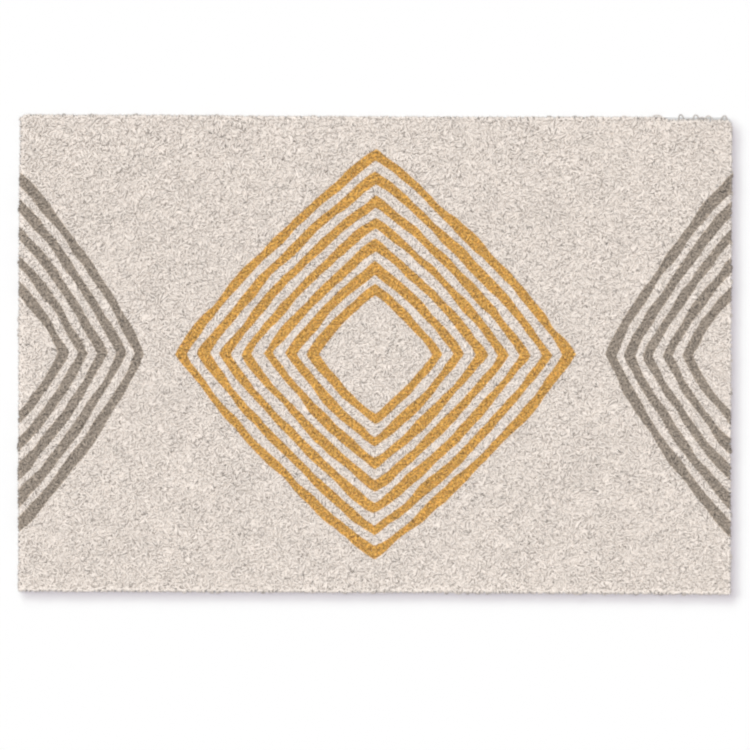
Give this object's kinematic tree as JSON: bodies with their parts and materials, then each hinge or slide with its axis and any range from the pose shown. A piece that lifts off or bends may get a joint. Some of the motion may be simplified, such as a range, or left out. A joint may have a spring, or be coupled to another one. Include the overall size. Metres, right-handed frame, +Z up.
{
  "type": "doormat",
  "caption": "Flat rectangular loop-pile doormat with a thin backing, softly rounded corners and a printed pattern, lying face up.",
  "frame": {"origin": "centre of the underside, on the floor", "axes": "+Z up through the pile, +X along the long side to the reader's right, -Y towards the front edge where a person stands to read the print"},
  "size_m": [0.9162, 0.6144, 0.009],
  "materials": {
    "pile": "matt curly loops, off-white, with printed bands of ochre and warm grey",
    "backing": "matt grey sheet, finely pebbled"
  },
  "bodies": {
    "root": {"mat": "pile"}
  },
  "joints": []
}
